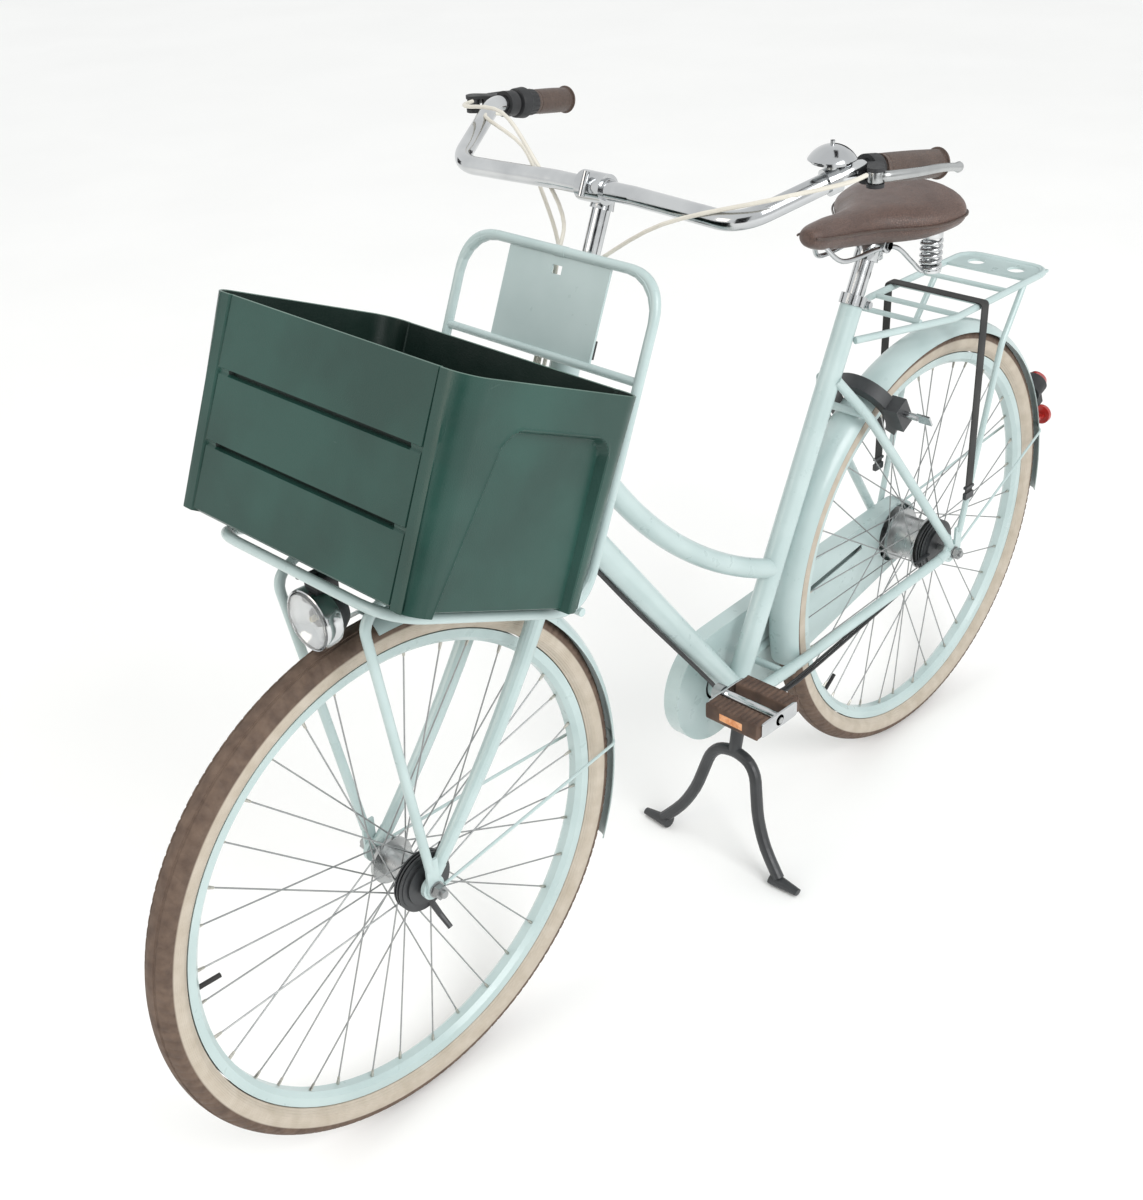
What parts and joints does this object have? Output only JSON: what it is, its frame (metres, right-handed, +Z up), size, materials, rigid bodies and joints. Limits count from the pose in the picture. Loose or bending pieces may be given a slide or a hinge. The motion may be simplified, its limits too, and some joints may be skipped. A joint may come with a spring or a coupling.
{
  "type": "city bicycle on stand",
  "caption": "Low step-through city bicycle on a two-legged stand, with a front carrier and plastic crate, a rear carrier, full fenders, an enclosed chain, lamps and a ring lock.",
  "frame": {"origin": "on the ground, at the middle of the bounding box", "axes": "+X forward in the direction of travel, +Y to the rider's left, +Z up"},
  "size_m": [1.872, 0.6691, 1.1804],
  "materials": {
    "mint_enamel": "satin pale green-blue enamel",
    "crate_plastic": "grained moulded plastic",
    "chrome_plate": "polished plating",
    "zinc_steel": "zinc-plated steel",
    "alloy": "polished aluminium",
    "black_plastic": "moulded plastic",
    "black_paint": "dark grey powder coat",
    "tyre_rubber": "brown rubber with a cream wall",
    "tube_rubber": "butyl",
    "grip_leather": "stitched brown grip",
    "saddle_leather": "padded brown cover",
    "pedal_rubber": "ribbed blocks",
    "cable_grey": "smooth cable housing",
    "cable_black": "smooth cable housing",
    "strap_rubber": "flat elastic strap",
    "clear_lens": "ribbed lens",
    "red_lens": "moulded lens"
  },
  "bodies": {
    "frame": {"frame": "mint_enamel", "bottom_bracket": "zinc_steel", "headset": "chrome_plate", "seat_clamp": "chrome_plate", "chain_case": "mint_enamel", "chain": "zinc_steel", "rear_fender": "mint_enamel", "rear_fender_stays": "mint_enamel", "rear_lamp": "black_plastic", "rear_lenses": "red_lens", "rear_carrier": "mint_enamel", "luggage_strap": "strap_rubber", "ring_lock": "black_paint", "rear_axle": "zinc_steel", "rear_brake": "black_paint", "stand_bracket": "black_paint", "rear_cables": "cable_black", "head_bracket": "black_plastic"},
    "seat_post": {"seatpost": "chrome_plate", "saddle": "saddle_leather", "saddle_frame": "chrome_plate"},
    "steering": {"fork": "mint_enamel", "stem": "chrome_plate", "handlebar": "chrome_plate", "grips": "grip_leather", "lever_clamps": "black_plastic", "bell_base": "chrome_plate", "front_carrier": "mint_enamel", "crate_shell": "crate_plastic", "crate_slats": "crate_plastic", "crate_bolts": "zinc_steel", "headlamp": "chrome_plate", "headlamp_lens": "clear_lens", "front_fender": "mint_enamel", "front_fender_stays": "mint_enamel", "front_axle": "zinc_steel", "front_brake": "black_paint", "bar_cables": "cable_grey"},
    "left_lever": {"left_brake_lever": "alloy"},
    "right_lever": {"right_brake_lever": "black_plastic"},
    "shifter": {"twist_shifter": "black_plastic"},
    "bell": {"bell_cap": "chrome_plate"},
    "front_wheel": {"front_hub": "alloy", "front_spokes": "zinc_steel", "front_rim": "mint_enamel", "front_tube": "tube_rubber", "front_tyre": "tyre_rubber"},
    "rear_wheel": {"rear_hub": "alloy", "rear_spokes": "zinc_steel", "rear_rim": "mint_enamel", "rear_tube": "tube_rubber", "rear_tyre": "tyre_rubber"},
    "sprocket": {"rear_sprocket": "zinc_steel"},
    "crank": {"crankset": "alloy", "chainring": "zinc_steel"},
    "left_pedal": {"left_pedal": "pedal_rubber"},
    "right_pedal": {"right_pedal": "pedal_rubber"},
    "shackle": {"lock_shackle": "chrome_plate"},
    "key": {"lock_key": "chrome_plate"},
    "stand": {"stand_legs": "black_paint"}
  },
  "joints": [
    {"name": "steering_turn", "type": "hinge", "parent": "frame", "child": "steering", "pos_m": [0.50536, 0, 0.32574], "axis": [-0.3907, 0, 0.9205], "range_deg": [-55, 55]},
    {"name": "front_wheel_spin", "type": "hinge", "parent": "steering", "child": "front_wheel", "pos_m": [0.579, 0, 0.357], "axis": [0, 1, 0], "continuous": true},
    {"name": "rear_wheel_spin", "type": "hinge", "parent": "frame", "child": "rear_wheel", "pos_m": [-0.536, 0, 0.357], "axis": [0, 1, 0], "continuous": true},
    {"name": "crank_spin", "type": "hinge", "parent": "frame", "child": "crank", "pos_m": [-0.066, 0, 0.29], "axis": [0, 1, 0], "continuous": true},
    {"name": "sprocket_spin", "type": "hinge", "parent": "frame", "child": "sprocket", "pos_m": [-0.536, 0, 0.357], "axis": [0, 1, 0], "continuous": true},
    {"name": "left_pedal_spin", "type": "hinge", "parent": "crank", "child": "left_pedal", "pos_m": [0.06977, 0.14, 0.39231], "axis": [0, 1, 0], "continuous": true},
    {"name": "right_pedal_spin", "type": "hinge", "parent": "crank", "child": "right_pedal", "pos_m": [-0.20177, -0.14, 0.18769], "axis": [0, 1, 0], "continuous": true},
    {"name": "stand_fold", "type": "hinge", "parent": "frame", "child": "stand", "pos_m": [-0.08, 0, 0.236], "axis": [0, 1, 0], "range_deg": [0, 58]},
    {"name": "left_lever_squeeze", "type": "hinge", "parent": "steering", "child": "left_lever", "pos_m": [0.09309, 0.30898, 1.14465], "axis": [0, 0, 1], "range_deg": [0, 8], "stiffness_Nm_per_rad": 2, "springref_deg": -5.73},
    {"name": "right_lever_squeeze", "type": "hinge", "parent": "steering", "child": "right_lever", "pos_m": [0.09309, -0.30898, 1.14465], "axis": [0, 0, -1], "range_deg": [0, 8], "stiffness_Nm_per_rad": 2, "springref_deg": -5.73},
    {"name": "shifter_twist", "type": "hinge", "parent": "steering", "child": "shifter", "pos_m": [0.03362, -0.282, 1.13754], "axis": [-0.9846, -0.0889, -0.1504], "range_deg": [-45, 45]},
    {"name": "bell_turn", "type": "hinge", "parent": "steering", "child": "bell", "pos_m": [0.11132, 0.26603, 1.16443], "axis": [0, 0, 1], "range_deg": [-90, 90]},
    {"name": "seat_height", "type": "slide", "parent": "frame", "child": "seat_post", "axis": [-0.4384, 0, 0.8988], "range_m": [-0.05, 0.06]},
    {"name": "lock_close", "type": "hinge", "parent": "frame", "child": "shackle", "pos_m": [-0.3675, 0, 0.64885], "axis": [0.866, 0, -0.5], "range_deg": [0, 124]},
    {"name": "key_turn", "type": "hinge", "parent": "frame", "child": "key", "pos_m": [-0.36423, 0.06, 0.65851], "axis": [0, 1, 0], "range_deg": [-90, 0]}
  ],
  "couplings": [
    {"joint": "sprocket_spin", "follows": "crank_spin", "ratio": 2}
  ]
}
